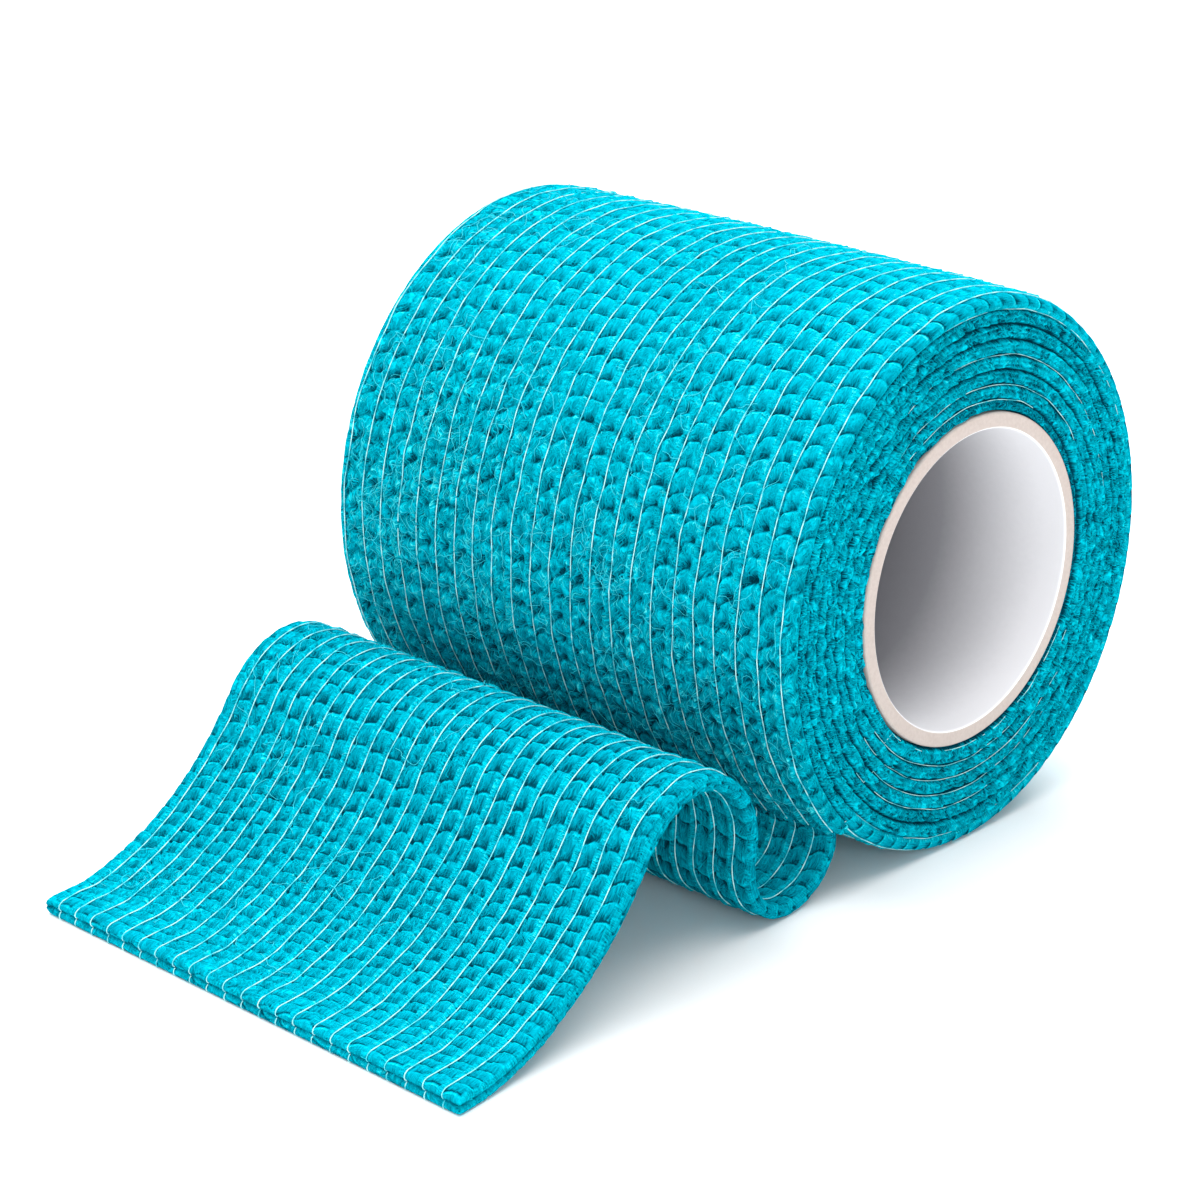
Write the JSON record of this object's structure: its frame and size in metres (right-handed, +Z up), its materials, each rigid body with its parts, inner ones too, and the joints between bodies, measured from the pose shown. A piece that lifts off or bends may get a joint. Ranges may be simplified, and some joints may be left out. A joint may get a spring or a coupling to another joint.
{
  "type": "cohesive bandage roll",
  "caption": "Elastic crinkled cohesive bandage wound on a paperboard tube, its loose end peeled off low, looped to the table, raised in one crest and run out flat to the hem.",
  "frame": {"origin": "on the table under the middle of the core's axis, at the centre of the roll's small flat foot", "axes": "+X along the core, -Y the way the loose end is pulled out, +Z up"},
  "size_m": [0.0523, 0.0841, 0.0464],
  "materials": {
    "tube_board": "smooth white-lined paperboard, satin",
    "crinkled_cloth": "matt crinkled nonwoven laminate with pale lengthwise elastic threads"
  },
  "bodies": {
    "root": {"core": "tube_board", "wound_roll": "crinkled_cloth", "loose_end": "crinkled_cloth"}
  },
  "joints": []
}
